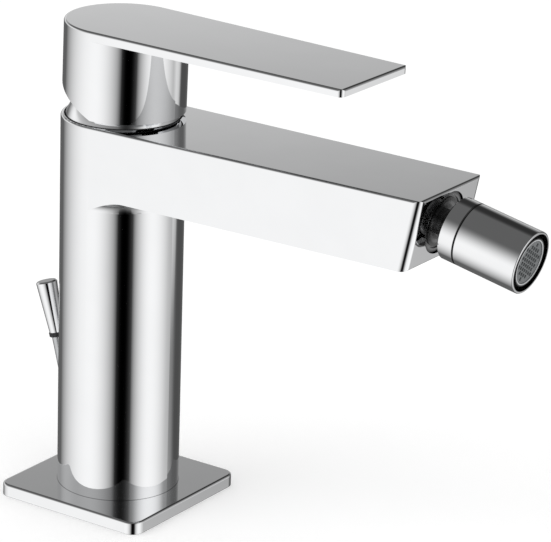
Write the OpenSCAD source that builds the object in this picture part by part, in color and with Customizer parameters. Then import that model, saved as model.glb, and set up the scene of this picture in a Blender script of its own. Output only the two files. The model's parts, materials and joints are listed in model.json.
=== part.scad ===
// Single-lever bidet mixer with a ball-jointed nozzle and a pop-up waste rod.
// Millimetres, +Z up, +X towards the nozzle. The origin is the middle of the
// base plate's underside, on the deck.

/* [Column] */
// Outer diameter of the column
column_d = 42; // [40:0.5:46]
// Height of the flat top of the body above the deck
body_top = 135.8; // [130:0.2:150]
// Wall round the cartridge chamber
chamber_wall = 3.4; // [3.2:0.1:3.8]
// Wall round the cartridge nut
nut_wall = 2.4; // [2:0.1:2.8]
// Rim of the body left round the dome cover
rim_wall = 1.4; // [1.1:0.1:1.8]
// Depth of the cartridge chamber below the top of the body
chamber_depth = 38.8; // [37:0.2:41.6]

/* [Spout] */
// Reach from the column's axis to the top edge of the end face
spout_reach = 128.4; // [115:0.2:140]
// Height of the spout's section
spout_h = 24; // [22:0.5:27]
// Angle by which each side of the spout and of the lever draws in
side_taper = 1; // [0.5:0.1:1.5]
// Backward slope of the end face, which is also the nozzle's dip
end_tilt = 11.6; // [8:0.2:15]
// Radius of the two upright corners of the end face
end_corner_r = 3; // [2:0.2:4]
// Radius between the spout's underside and the column
root_r = 5; // [3:0.5:7]
// Wall of the hollow spout
spout_wall = 3; // [2.4:0.1:3.4]
// Rounding of the body's long edges
edge_r = 0.8; // [0.5:0.1:1]

/* [Base plate] */
// Side of the square base plate
plate_w = 58.9; // [54:0.5:66]
// Thickness of the base plate
plate_t = 4.4; // [3.6:0.2:6]
// Corner radius of the base plate
plate_corner_r = 4.5; // [3:0.5:8]
// Rounding of the plate's top edge
plate_edge_r = 0.8; // [0.4:0.1:1.2]
// Radius of the hole in the base plate
plate_hole_r = 17.2; // [17:0.1:18]
// Radius of the middle of the gasket's ring
gasket_r = 24; // [22:0.5:25]
// Width of the gasket's ring
gasket_w = 5; // [3:0.5:6]
// Thickness of the gasket
gasket_t = 1.6; // [1:0.2:2.4]

/* [Foot connector] */
// Radius of the connector that holds the hoses and the stud
foot_r = 13; // [12.6:0.1:13.2]
// Distance of the connector's axis in front of the column's axis
foot_x = 3; // [2.6:0.1:3.2]
// Height of the connector
foot_h = 24; // [20:0.5:30]
// Radius of the wall of each inlet thread, M10 by 1
inlet_thread_r = 4.5; // [4.2:0.1:4.6]
// Depth of each inlet thread
inlet_depth = 12; // [9:0.5:15]
// Half the distance between the two inlets
inlet_half_gap = 6.8; // [6.4:0.1:7]
// Radius of the drilled waterways
waterway_r = 3; // [2.4:0.1:3.4]
// Radius of the wall of the stud's thread, M8
stud_thread_r = 3.4; // [3:0.1:3.6]
// Depth of the stud's thread
stud_depth = 14; // [10:0.5:17]
// Distance of the stud's axis in front of the column's axis
stud_x = 10; // [9.4:0.1:10.4]

/* [Lever] */
// Height of the lever's top above the body's top, at the axis
lever_h = 32.3; // [30:0.5:38]
// Length of the blade from the column's axis
lever_len = 97.6; // [85:0.2:110]
// Step from the column's radius in to the hub's radius
hub_inset = 0.2; // [0:0.1:0.5]
// Gap between the hub's lower edge and the body's top
hub_gap = 2.2; // [1.8:0.1:3]
// Thickness of the blade where it leaves the hub
blade_t = 3.2; // [2.8:0.1:4.5]
// Thickness of the blade at its tip
blade_tip_t = 2.6; // [2.2:0.1:2.8]
// Radius of the blade's front corners
blade_corner_r = 2; // [1.5:0.1:4]
// Rounding of the lever's top edge
lever_edge_r = 0.8; // [0.4:0.1:1]
// Forward droop of the closed lever
lever_droop = 1.1; // [0:0.1:1.4]
// Slope of the relief cut under the back of the hub
relief_angle = 26; // [25:0.5:28]
// Place where the relief cut starts, in front of the axis
relief_x = 1.3; // [0.5:0.1:2]
// Thickness of the solid top of the hub
hub_roof = 7; // [5.5:0.5:8]
// Outer radius of the boss that holds the stem
boss_r = 8; // [7.4:0.2:9]

/* [Cartridge] */
// Depth of the lever's pivot below the body's top
pivot_drop = 7.8; // [7.4:0.1:8.4]
// Lean of the closed stem, forward at the top
stem_lean = 11; // [10:0.5:12]
// Side of the square stem
stem_w = 8; // [7.6:0.1:8.2]
// Distance from the pivot up to the top of the stem
stem_top = 31; // [29:0.5:31.5]
// Distance from the pivot down to the middle of the stem's ball
stem_arm = 14; // [13.6:0.1:14.2]
// Radius of the ball at the lower end of the stem
stem_ball_r = 3.4; // [3.2:0.1:3.5]
// Radius of the pin on which the stem rocks
pin_r = 1.25; // [1:0.05:1.4]
// Wall of the cartridge housing
housing_wall = 1.2; // [1:0.1:1.3]
// Outer radius of the housing's neck
neck_r = 12.4; // [12.2:0.1:12.6]
// Thickness of the cartridge base
cartridge_base_t = 3.5; // [3:0.1:4]
// Thickness of each ceramic disc
disc_t = 3.5; // [3:0.1:3.6]
// Radius of the moving ceramic disc
moving_disc_r = 11.4; // [11:0.1:11.5]
// Height of the sliding carrier on the moving disc
carrier_h = 8; // [7.6:0.1:8.1]
// Thickness of the rotor's disc
rotor_t = 3.8; // [3.4:0.1:3.9]
// Wall of the dome cover
dome_wall = 1.3; // [1:0.1:1.5]
// Radius of the hole in the dome cover, through which the stem passes
dome_hole_r = 10.6; // [10.4:0.1:11.5]

/* [Nozzle] */
// Outer radius of the nozzle
nozzle_r = 10.5; // [10.2:0.1:11]
// Depth of the nozzle axis below the top of the body, in the end face
nozzle_drop = 11.6; // [11.2:0.1:12.3]
// Distance from the end face to the nozzle's back edge
collar_start = 4.2; // [4:0.1:5]
// Length of the screwed collar behind the nozzle sleeve
collar_len = 5.8; // [5.6:0.1:6.4]
// Distance from the end face to the nozzle's front edge
nozzle_reach = 32.4; // [30:0.2:36]
// Radius of the ball
ball_r = 7.6; // [7.2:0.1:7.7]
// Distance from the end face to the middle of the ball
ball_start = 8.5; // [8.4:0.1:8.8]
// Radius of the recess in the end face
recess_r = 10.7; // [10.4:0.1:10.9]
// Depth of the recess in the end face
recess_depth = 3; // [2.4:0.1:3.4]
// Radius of the thread that holds the ball nipple
nipple_r = 8.6; // [8.2:0.1:8.8]
// Length of the thread that holds the ball nipple
nipple_len = 10; // [8:0.5:12]
// Radius of the waterway through the ball nipple
nipple_bore_r = 3.2; // [2.8:0.1:3.6]
// Outer radius of the aerator's front ring
aerator_r = 8.05; // [7.8:0.05:8.2]
// Distance of the aerator's front ring behind the nozzle's edge
aerator_inset = 0.4; // [0.3:0.1:1]
// Pitch of the aerator's honeycomb cells
cell_pitch = 1.7; // [1.6:0.1:2.4]
// Wall between two honeycomb cells
cell_wall = 0.4; // [0.3:0.05:0.6]

/* [Pop-up rod] */
// Distance of the knob's lower end behind the column's axis
knob_back = 27.4; // [26:0.2:29]
// Height of the knob's lower end above the deck
knob_z = 51.7; // [49:0.5:56]
// Backward lean of the rod
rod_lean = 15; // [14:0.5:16]
// Length of the knob
knob_len = 18.3; // [15:0.5:22]
// Radius of the knob's top
knob_top_r = 3.7; // [3.2:0.1:4.5]
// Radius of the knob's lower end
knob_end_r = 2.5; // [2.3:0.1:2.8]
// Radius of the rod
rod_r = 2; // [1.8:0.1:2.1]
// Length of the guide bush
bush_len = 9; // [7:0.5:10]

/* [Clearances] */
// Gap between a moving piece and its neighbour
run_gap = 0.4; // [0.3:0.05:0.5]
// Gap between a piece and the seat that it is fixed in
seat_gap = 0.05; // [0.03:0.01:0.08]
// Gap between the ball, its liner and the socket
ball_gap = 0.15; // [0.12:0.01:0.2]
// Gap that the hub keeps while it sweeps over the dome cover
sweep_gap = 0.35; // [0.3:0.05:0.5]

/* [Hidden] */
$fn = 64;

// Overshoot of a cutter past the face that it cuts
cut = 1;
// Size of a block that trims away everything on one side of a plane
trim = 300;
// How far a corner's rounding is moved out, so that no face meets it at a tangent
tangent_break = 0.006;

// Body
column_r = column_d / 2;
side_r = column_r - tangent_break;
chamber_r = column_r - chamber_wall;
nut_bore_r = column_r - nut_wall;
chamber_floor = body_top - chamber_depth;
dome_seat_r = column_r - rim_wall;
dome_seat_depth = 1.5;
spout_under = body_top - spout_h;
spigot_r = plate_hole_r - run_gap / 2;
spigot_bottom = 0;
foot_top = spigot_bottom + foot_h;
end_low_x = spout_reach - spout_h * tan(end_tilt);

// Pivot and lever, measured from the pivot
pivot_z = body_top - pivot_drop;
hub_r = column_r - hub_inset;
hub_low = pivot_drop + hub_gap;
lever_top = pivot_drop + lever_h;
dome_skirt_r = dome_seat_r - 3 * seat_gap;
dome_r = norm([dome_skirt_r, pivot_drop]);
hub_bore_r = sqrt(pow(dome_r + sweep_gap, 2) - pow(hub_low, 2));
hub_core_r = hub_bore_r - 1.4;
hub_roof_low = lever_top - hub_roof;
boss_low = dome_r + 0.8;
stem_slot = stem_w + 2 * seat_gap;
screw_up = 26.5;
screw_r = 2.5;
screw_len = 6;
plug_r = 2.9;
plug_t = 1.6;

// Cartridge heights, measured from the deck
housing_r = chamber_r - 1.4;
housing_bore_r = housing_r - housing_wall;
fixed_disc_low = chamber_floor + cartridge_base_t;
disc_gap = 0.1;
moving_disc_low = fixed_disc_low + disc_t + disc_gap;
carrier_low = moving_disc_low + disc_t;
carrier_top = carrier_low + carrier_h;
rotor_low = carrier_top + run_gap;
rotor_top = rotor_low + rotor_t;
housing_roof_low = rotor_top + run_gap;
housing_roof_t = 1.8;
flange_top = housing_roof_low + housing_roof_t;
flange_t = 3.2;
flange_r = chamber_r - 2 * seat_gap;
seal_section_r = 0.55;
neck_wall = 1.9;
neck_bore_r = neck_r - neck_wall;
neck_top = pivot_z + 5.5;
rotor_neck_r = neck_bore_r - run_gap;
rotor_disc_r = housing_bore_r - run_gap;
stem_swing = 6;
disc_x = -stem_arm * sin(stem_lean);
carrier_flat_y = 9.4;
rail_y = carrier_flat_y + run_gap;
nut_top = body_top - dome_seat_depth - 2.3;
nut_hole_r = neck_r + run_gap;
inlet_port_r = 2.6;
outlet_port_x = 7.4;
outlet_port_r = 3;
port_h = 3;

// Nozzle, measured along its axis from the end face
nozzle_z = body_top - nozzle_drop;
outlet_x = spout_reach - nozzle_drop * tan(end_tilt);
liner_in_r = ball_r + ball_gap;
liner_out_r = liner_in_r + 0.5;
socket_r = liner_out_r + ball_gap;
liner_back = 3;
liner_front = 4.6;
collar_end = collar_start + collar_len;
joint_lip = 1;
thread_mid_r = (socket_r + nozzle_r) / 2;
neck_of_ball_r = 4.4;
nipple_flange_t = 1.4;
nipple_seal_t = 1;
sleeve_bore_r = 6;
aerator_seat = 20;
aerator_thread_r = 8.9;
rim_bore_r = 9.65;
rim_depth = 3.4;
aerator_front = nozzle_reach - aerator_inset;
gasket_ring_t = 1.2;
insert_len = 6.4;
screen_r = aerator_r - 0.75;
screen_t = 1.4;
screen_inset = 0.35;
chamfer = 0.4;

// Pop-up rod, measured down its axis from the knob's lower end
rod_end_z = 1.5;
rod_len = (knob_z - rod_end_z) / cos(rod_lean);
rod_hole_r = rod_r + 0.5;
bush_r = rod_r + 1.4;
bush_bore_r = rod_r + 0.25;
bush_start = (knob_back - column_r) / sin(rod_lean) + 2.4;
rod_in_knob = 6;
knob_edge_r = 0.5;

// Half-width, at x, of an outline of radius r with drawn-in sides
function side_y(r, x) = (r - x * sin(side_taper)) / cos(side_taper);

// Waste left by a rounding of radius r along an edge. The edge is at the
// origin, one face lies along +X and the other at the angle between them.
// Poke moves the rounding out by a hair, so that it crosses both faces.
module edge_waste(r, angle = 90, poke = 0) {
  run = (r - poke) / tan(angle / 2);
  difference() {
    polygon([
      [run, 0], [run, -cut],
      [-cut * (1 + cos(angle)) / sin(angle), -cut],
      [run * cos(angle) - cut * sin(angle), run * sin(angle) + cut * cos(angle)],
      [run * cos(angle), run * sin(angle)]
    ]);
    translate([run, r - poke]) circle(r);
  }
}

// Waste for the top edge of a round wall of radius r about Z
module ring_edge_waste(r, z, edge) {
  rotate_extrude()
    translate([r, z]) mirror([1, 0]) rotate(-90) edge_waste(edge);
}

// Region between two directions from the origin, at most 200 degrees apart
module wedge(from, to) {
  polygon([
    [0, 0], [trim * cos(from), trim * sin(from)],
    [trim * cos((2 * from + to) / 3), trim * sin((2 * from + to) / 3)],
    [trim * cos((from + 2 * to) / 3), trim * sin((from + 2 * to) / 3)],
    [trim * cos(to), trim * sin(to)]
  ]);
}

module sector(r, from, to) {
  intersection() {
    circle(r);
    wedge(from, to);
  }
}

// Straight-sided outline that leaves a circle of radius r at its tangents
module taper_sides(r, len) {
  end_y = side_y(r, len);
  tangent = [r * sin(side_taper), r * cos(side_taper)];
  polygon([
    [0, 0], tangent, [len, end_y], [len, -end_y], [tangent[0], -tangent[1]]
  ]);
}

// The same outline with its round back, up to len
module taper_outline(r, len) {
  sector(r, 90 - side_taper, 270 + side_taper);
  taper_sides(r, len);
}

// Waste along both straight sides at height z, over the given length
module side_edge_waste(r, len, z, edge) {
  for (side = [0, 1]) mirror([0, side, 0])
    translate([r * sin(side_taper), -r * cos(side_taper), z])
      rotate([0, 0, side_taper]) rotate([0, 90, 0])
        linear_extrude(len) edge_waste(edge);
}

// Waste on a round edge at height z, between two directions
module arc_edge_waste(r, z, edge, from, to) {
  intersection() {
    ring_edge_waste(r, z, edge);
    translate([0, 0, z - 2 * edge]) linear_extrude(4 * edge) wedge(from, to);
  }
}

// Frames
module lever_frame() {
  translate([0, 0, pivot_z]) rotate([0, lever_droop, 0]) children();
}
module stem_frame() {
  translate([0, 0, pivot_z]) rotate([0, stem_lean, 0]) children();
}
module nozzle_frame() {
  translate([outlet_x, 0, nozzle_z]) rotate([0, 90 + end_tilt, 0]) children();
}
module rod_frame() {
  translate([-knob_back, 0, knob_z]) rotate([0, -rod_lean, 0]) children();
}

// A tube about Z from low to high
module tube(outer, inner, low, high) {
  translate([0, 0, low]) difference() {
    cylinder(r = outer, h = high - low);
    translate([0, 0, -cut]) cylinder(r = inner, h = high - low + 2 * cut);
  }
}

// Everything outside the sloped end face
module end_face_trim() {
  translate([spout_reach, 0, body_top]) rotate([0, end_tilt, 0])
    translate([0, -trim / 2, -trim / 2]) cube([trim, trim, trim]);
}

// Roundings of the end face: its two upright corners and its two level edges
module end_face_waste() {
  upright_tilt = atan(tan(end_tilt) / cos(side_taper));
  skew = asin(sin(side_taper) * cos(end_tilt));
  for (side = [0, 1]) mirror([0, side, 0])
    translate([spout_reach, -side_y(side_r, spout_reach), body_top])
      rotate([0, 0, side_taper]) rotate([0, upright_tilt, 0])
        rotate([0, 0, 90 - skew])
          translate([0, 0, -2 * spout_h]) linear_extrude(3 * spout_h)
            edge_waste(end_corner_r, 90 + skew, tangent_break);
  translate([spout_reach, column_r, body_top]) rotate([-90, 0, 180])
    linear_extrude(column_d) edge_waste(edge_r, 90 - end_tilt);
  translate([end_low_x, -column_r, spout_under]) rotate([90, 0, 180])
    linear_extrude(column_d) edge_waste(edge_r, 90 + end_tilt);
}

// Water space inside the spout, open to the chamber below the housing's seal
module spout_waterway() {
  front = outlet_x - nipple_len - recess_depth;
  inner_r = column_r - spout_wall;
  translate([0, 0, spout_under + spout_wall])
    linear_extrude(spout_h - 2 * spout_wall)
      intersection() {
        taper_sides(inner_r, front);
        translate([column_r + 1, -column_r]) square([front, column_d]);
      }
  translate([chamber_r - cut, -6, spout_under + spout_wall])
    cube([chamber_wall + 3 * cut, 12, port_h]);
}

// Column with its rounded top edge, and the spigot that enters the base plate
module column_blank() {
  rotate_extrude() {
    difference() {
      translate([0, plate_t]) square([column_r, body_top - plate_t]);
      translate([column_r, body_top]) mirror([1, 0]) rotate(-90) edge_waste(edge_r);
    }
    translate([0, spigot_bottom]) square([spigot_r, plate_t - spigot_bottom + cut]);
  }
}

// Tapered spout with its sloped end face and rounded edges
module spout_blank() {
  difference() {
    difference() {
      translate([0, 0, spout_under]) linear_extrude(spout_h)
        taper_sides(side_r, spout_reach + cut);
      end_face_trim();
    }
    end_face_waste();
    side_edge_waste(side_r, spout_reach + cut, body_top, edge_r);
  }
}

// Rounding between the spout's underside and the column
module spout_root() {
  intersection() {
    translate([0, 0, spout_under]) rotate_extrude() difference() {
      translate([column_r - cut, -root_r]) square([root_r + cut, root_r + cut]);
      translate([column_r + root_r - tangent_break, tangent_break - root_r])
        circle(root_r);
    }
    translate([0, 0, spout_under - root_r]) linear_extrude(root_r + cut / 2)
      taper_sides(side_r - 3 * tangent_break, spout_reach / 2);
  }
}

module body_casting() {
  color("silver") difference() {
    union() {
      column_blank();
      spout_blank();
      spout_root();
    }
    // Chamber, nut thread and seat of the dome cover
    translate([0, 0, chamber_floor])
      cylinder(r = chamber_r, h = body_top - chamber_floor + cut);
    translate([0, 0, flange_top])
      cylinder(r = nut_bore_r, h = body_top - flange_top + cut);
    translate([0, 0, body_top - dome_seat_depth])
      cylinder(r = dome_seat_r, h = dome_seat_depth + cut);
    // Waterways
    for (side = [-1, 1]) translate([0, side * inlet_half_gap, foot_top - cut])
      cylinder(r = waterway_r, h = chamber_floor - foot_top + 2 * cut);
    spout_waterway();
    nozzle_frame() {
      translate([0, 0, -recess_depth]) cylinder(r = recess_r, h = recess_depth + 2 * cut);
      translate([0, 0, -nipple_len - recess_depth - 2 * cut])
        cylinder(r = nipple_r + seat_gap, h = nipple_len + recess_depth + 2 * cut);
    }
    // Foot: seat of the connector, the rod's hole and the seat of its bush
    translate([foot_x, 0, -cut]) cylinder(r = foot_r + seat_gap, h = foot_top + cut);
    rod_frame() {
      translate([0, 0, -rod_len - 3 * cut]) cylinder(r = rod_hole_r, h = rod_len);
      translate([0, 0, -bush_start - bush_len])
        cylinder(r = bush_r + seat_gap, h = bush_start + bush_len - knob_len / 3);
    }
  }
}

// Square plate with four rounded corners
module plate_blank() {
  flat = plate_w - 2 * plate_corner_r;
  square([plate_w, flat], center = true);
  square([flat, plate_w], center = true);
  for (turn = [0:3]) rotate(90 * turn)
    translate([flat / 2, flat / 2]) circle(plate_corner_r);
}

module base_plate() {
  half = plate_w / 2;
  centre = half - plate_corner_r;
  color("silver") difference() {
    linear_extrude(plate_t) plate_blank();
    for (turn = [0:3]) rotate([0, 0, 90 * turn]) {
      translate([-half, -half, plate_t]) rotate([0, 90, 0])
        linear_extrude(plate_w) edge_waste(plate_edge_r);
      translate([centre, centre, 0]) intersection() {
        ring_edge_waste(plate_corner_r, plate_t, plate_edge_r);
        cube([trim, trim, trim]);
      }
    }
    translate([0, 0, -cut]) cylinder(r = plate_hole_r, h = plate_t + 2 * cut);
    tube(gasket_r + gasket_w / 2, gasket_r - gasket_w / 2, -cut, gasket_t);
  }
}

module base_gasket() {
  color("dimgray")
    tube(gasket_r + gasket_w / 2 - seat_gap, gasket_r - gasket_w / 2 + seat_gap, 0, gasket_t);
}

module foot_connector() {
  color("darkgoldenrod") difference() {
    translate([foot_x, 0, spigot_bottom]) cylinder(r = foot_r, h = foot_h);
    for (side = [-1, 1]) translate([0, side * inlet_half_gap, spigot_bottom]) {
      translate([0, 0, -cut]) cylinder(r = inlet_thread_r, h = inlet_depth + cut);
      cylinder(r = waterway_r, h = foot_h + cut);
    }
    translate([stud_x, 0, spigot_bottom - cut])
      cylinder(r = stud_thread_r, h = stud_depth + cut);
    translate([foot_x, 0, spigot_bottom + foot_h - 4]) rotate_extrude()
      translate([foot_r - 2 * seal_section_r, 0]) square([2, 2 * seal_section_r]);
  }
}

module foot_seal() {
  color("dimgray")
    translate([foot_x, 0, spigot_bottom + foot_h - 4 + seal_section_r])
      rotate_extrude() translate([foot_r - seal_section_r, 0])
        circle(seal_section_r - seat_gap);
}

// Flat blade of the lever with its round back over the hub
module lever_blade() {
  underside_slope = atan((blade_t - blade_tip_t) / lever_len);
  difference() {
    translate([0, 0, lever_top - blade_t]) linear_extrude(blade_t)
      taper_outline(hub_r, lever_len);
    for (side = [0, 1]) mirror([0, side, 0])
      translate([lever_len, -side_y(hub_r, lever_len), 0])
        rotate([0, 0, 90]) linear_extrude(2 * lever_top)
          edge_waste(blade_corner_r, 90 + side_taper, tangent_break);
    arc_edge_waste(hub_r, lever_top, lever_edge_r, 90 - side_taper, 270 + side_taper);
    side_edge_waste(hub_r, lever_len + cut, lever_top, lever_edge_r);
    translate([lever_len, hub_r, lever_top]) rotate([-90, 0, 180])
      linear_extrude(2 * hub_r) edge_waste(lever_edge_r);
    // The underside rises towards the tip
    translate([0, 0, lever_top - blade_t]) rotate([0, -underside_slope, 0])
      translate([0, -trim / 2, -trim]) cube([trim, trim, trim]);
  }
}

module lever_handle() {
  color("silver") difference() {
    union() {
      lever_frame() {
        lever_blade();
        difference() {
          translate([0, 0, hub_low]) cylinder(r = hub_r, h = lever_top - blade_t / 2 - hub_low);
          translate([0, 0, hub_low - cut]) cylinder(r = hub_bore_r, h = 10 + cut);
          translate([0, 0, hub_low]) cylinder(r = hub_core_r, h = hub_roof_low - hub_low);
          // Relief that lets the back of the hub dip when the lever is lifted
          translate([relief_x, 0, hub_low]) rotate([0, relief_angle, 0])
            translate([-trim, -trim / 2, -trim]) cube([trim, trim, trim]);
        }
      }
      // Boss round the stem, up into the solid top of the hub
      intersection() {
        stem_frame() translate([0, 0, boss_low]) cylinder(r = boss_r, h = lever_top);
        lever_frame() cylinder(r = hub_core_r + cut / 2, h = hub_roof_low + cut);
      }
    }
    stem_frame() {
      translate([-stem_slot / 2, -stem_slot / 2, boss_low - cut])
        cube([stem_slot, stem_slot, stem_top - boss_low + cut + 0.5]);
      // Way in for the grub screw from the back of the hub
      translate([-stem_w / 2, 0, screw_up]) rotate([0, -90, 0])
        cylinder(r = screw_r + seat_gap, h = 2 * hub_r);
      translate([-hub_r + 0.4, 0, screw_up]) rotate([0, -90, 0])
        cylinder(r = plug_r + seat_gap, h = hub_r);
    }
  }
}

// Socket grub screw that clamps the stem in the boss
module handle_screw() {
  color("gray") stem_frame()
    translate([-stem_w / 2 - seat_gap, 0, screw_up]) rotate([0, -90, 0])
      difference() {
        cylinder(r = screw_r, h = screw_len);
        translate([0, 0, screw_len - 2.4]) cylinder(r = 1.45, h = 2.4 + cut, $fn = 6);
      }
}

// Small cap in the mouth of the screw's hole, flush with the hub
module screw_plug() {
  color("silver") intersection() {
    stem_frame() translate([-hub_r + 0.4, 0, screw_up]) rotate([0, -90, 0])
      cylinder(r = plug_r, h = hub_r);
    lever_frame() cylinder(r = hub_r, h = lever_top);
  }
}

module dome_cover() {
  seat_z = body_top - dome_seat_depth;
  color("silver") difference() {
    union() {
      translate([0, 0, seat_z]) cylinder(r = dome_skirt_r, h = dome_seat_depth);
      intersection() {
        translate([0, 0, pivot_z]) sphere(dome_r);
        translate([0, 0, body_top - cut / 2]) cylinder(r = column_r, h = column_d);
      }
    }
    translate([0, 0, pivot_z]) cylinder(r = dome_hole_r, h = column_d);
    translate([0, 0, pivot_z]) sphere(dome_r - dome_wall);
    translate([0, 0, seat_z - cut])
      cylinder(r = dome_skirt_r - dome_wall, h = dome_seat_depth + cut);
  }
}

// Threaded ring that clamps the cartridge's flange, with four key slots
module cartridge_nut() {
  color("darkgoldenrod") difference() {
    tube(nut_bore_r - seat_gap, nut_hole_r, flange_top, nut_top);
    for (turn = [0:3]) rotate([0, 0, 45 + 90 * turn])
      translate([nut_hole_r + 1.4, -2, nut_top - 2.4]) cube([nut_bore_r, 4, 2.4 + cut]);
  }
}

module cartridge_housing() {
  color("whitesmoke") difference() {
    union() {
      tube(housing_r, housing_bore_r, fixed_disc_low, housing_roof_low + cut / 2);
      translate([0, 0, flange_top - flange_t]) difference() {
        cylinder(r = flange_r, h = flange_t);
        translate([0, 0, -cut]) cylinder(r = housing_bore_r, h = flange_t - housing_roof_t + cut);
        translate([0, 0, -cut]) cylinder(r = neck_bore_r, h = flange_t + 2 * cut);
      }
      tube(neck_r, neck_bore_r, flange_top - cut / 2, neck_top);
    }
    // Groove of the housing seal
    translate([0, 0, flange_top - flange_t / 2 - seal_section_r])
      tube(chamber_r + cut, flange_r - 2 * seal_section_r, 0, 2 * seal_section_r);
  }
}

module housing_seal() {
  color("dimgray") translate([0, 0, flange_top - flange_t / 2]) rotate_extrude()
    translate([chamber_r - seat_gap - seal_section_r, 0]) circle(seal_section_r - seat_gap / 2);
}

// Disc under the cartridge: two inlets, and an outlet that leaves by its side
module cartridge_base() {
  color("whitesmoke") difference() {
    translate([0, 0, chamber_floor]) cylinder(r = housing_r, h = cartridge_base_t);
    for (side = [-1, 1]) translate([0, side * inlet_half_gap, chamber_floor - cut]) {
      cylinder(r = inlet_port_r, h = cartridge_base_t + 2 * cut);
      cylinder(r = inlet_port_r + 1.8, h = 1.2 + cut);
    }
    translate([outlet_port_x, 0, chamber_floor + 1.4])
      cylinder(r = outlet_port_r, h = cartridge_base_t);
    translate([outlet_port_x, -outlet_port_r, chamber_floor + 1.4])
      cube([housing_r, 2 * outlet_port_r, cartridge_base_t - 2]);
  }
}

module cartridge_seals() {
  color("dimgray") for (side = [-1, 1]) translate([0, side * inlet_half_gap, 0])
    tube(inlet_port_r + 1.8 - seat_gap, inlet_port_r + 0.3, chamber_floor, chamber_floor + 1.2);
}

module fixed_disc() {
  color("white") difference() {
    translate([0, 0, fixed_disc_low]) cylinder(r = housing_bore_r - run_gap, h = disc_t);
    translate([0, 0, fixed_disc_low - cut]) {
      for (side = [-1, 1]) translate([0, side * inlet_half_gap, 0])
        cylinder(r = inlet_port_r, h = disc_t + 2 * cut);
      translate([outlet_port_x, 0, 0]) cylinder(r = outlet_port_r, h = disc_t + 2 * cut);
    }
  }
}

// Upper ceramic disc, with the hollow that links the inlets to the outlet
module moving_disc() {
  color("white") translate([disc_x, 0, moving_disc_low]) difference() {
    cylinder(r = moving_disc_r, h = disc_t);
    translate([1.6, 0, -cut]) cylinder(r = 6.4, h = 1.8 + cut);
  }
}

// Carrier that the stem's ball pushes along between the rotor's rails
module disc_carrier() {
  socket_low = carrier_low + 2.6;
  color("lightsteelblue") translate([disc_x, 0, 0]) difference() {
    intersection() {
      translate([0, 0, carrier_low]) cylinder(r = moving_disc_r, h = carrier_h);
      translate([-moving_disc_r, -carrier_flat_y, carrier_low])
        cube([2 * moving_disc_r, 2 * carrier_flat_y, carrier_h]);
    }
    translate([0, 0, socket_low]) cylinder(r = stem_ball_r + run_gap, h = carrier_h);
  }
}

// Turning sleeve: a slotted disc and neck for the stem, and two rails below
module rotor() {
  color("lightsteelblue") difference() {
    union() {
      translate([0, 0, rotor_low]) cylinder(r = rotor_disc_r, h = rotor_t);
      translate([0, 0, rotor_top - cut / 2])
        cylinder(r = rotor_neck_r, h = neck_top - rotor_top + cut / 2);
      for (side = [0, 1]) mirror([0, side, 0]) intersection() {
        translate([0, 0, carrier_low + run_gap])
          cylinder(r = rotor_disc_r, h = rotor_low - carrier_low);
        translate([-5, rail_y, carrier_low + run_gap]) cube([10, rotor_disc_r, rotor_t + carrier_h]);
      }
    }
    translate([-stem_swing, -stem_w / 2 - run_gap / 2, rotor_low - cut])
      cube([2 * stem_swing, stem_w + run_gap, neck_top - rotor_low + 2 * cut]);
    translate([0, 0, pivot_z]) rotate([90, 0, 0])
      cylinder(r = pin_r + seat_gap / 2, h = 2 * neck_r, center = true);
  }
}

module stem_pin() {
  color("gray") translate([0, 0, pivot_z]) rotate([90, 0, 0])
    cylinder(r = pin_r, h = 2 * (rotor_neck_r - 0.6), center = true);
}

// Square stem above the pin, round below it, with a ball at the bottom
module lever_stem() {
  waist_r = 2.6;
  color("gray") stem_frame() difference() {
    union() {
      translate([-stem_w / 2, -stem_w / 2, -6]) cube([stem_w, stem_w, 6 + stem_top]);
      translate([0, 0, -stem_arm]) cylinder(r = waist_r, h = stem_arm - 5);
      translate([0, 0, -stem_arm]) sphere(stem_ball_r);
    }
    rotate([90, 0, 0]) cylinder(r = pin_r + seat_gap, h = 2 * stem_w, center = true);
  }
}

// Threaded stub, flange, neck and ball in one piece, bored through
module ball_nipple() {
  flange_low = nipple_seal_t - recess_depth;
  color("silver") nozzle_frame() difference() {
    union() {
      translate([0, 0, -recess_depth - nipple_len]) cylinder(r = nipple_r, h = nipple_len + recess_depth);
      translate([0, 0, flange_low]) cylinder(r = recess_r - run_gap, h = nipple_flange_t);
      translate([0, 0, flange_low + nipple_flange_t - cut / 2])
        cylinder(r = neck_of_ball_r, h = ball_start);
      translate([0, 0, ball_start]) sphere(ball_r);
    }
    translate([0, 0, -recess_depth - nipple_len - cut])
      cylinder(r = nipple_bore_r, h = trim);
    // Flat mouth of the ball
    translate([0, 0, ball_start + ball_r * 0.8]) cylinder(r = ball_r, h = ball_r);
    // Stub is plain above the flange
    tube(recess_r, neck_of_ball_r, flange_low + nipple_flange_t, ball_start - ball_r * 0.7);
    // Groove in the face of the flange
    tube(recess_r - 1.6, recess_r - 2.3, flange_low + nipple_flange_t - 0.4, flange_low + 2 * nipple_flange_t);
  }
}

module nipple_seal() {
  color("dimgray") nozzle_frame()
    tube(recess_r - run_gap, nipple_r + seat_gap, -recess_depth, nipple_seal_t - recess_depth);
}

// Slippery ring between the ball and its socket
module ball_liner() {
  color("whitesmoke") nozzle_frame() translate([0, 0, ball_start]) intersection() {
    difference() {
      sphere(liner_out_r);
      sphere(liner_in_r);
    }
    translate([0, 0, -liner_back]) cylinder(r = nozzle_r, h = liner_back + liner_front);
  }
}

module ball_socket() {
  translate([0, 0, ball_start]) sphere(socket_r);
}

// Chamfered cutter for the outer edge of a round end face at height z
module round_chamfer(r, z, size) {
  rotate_extrude() polygon([
    [r - size, z], [r + cut, z - size - cut], [r + cut, z + cut], [r - size, z + cut]
  ]);
}

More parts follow.
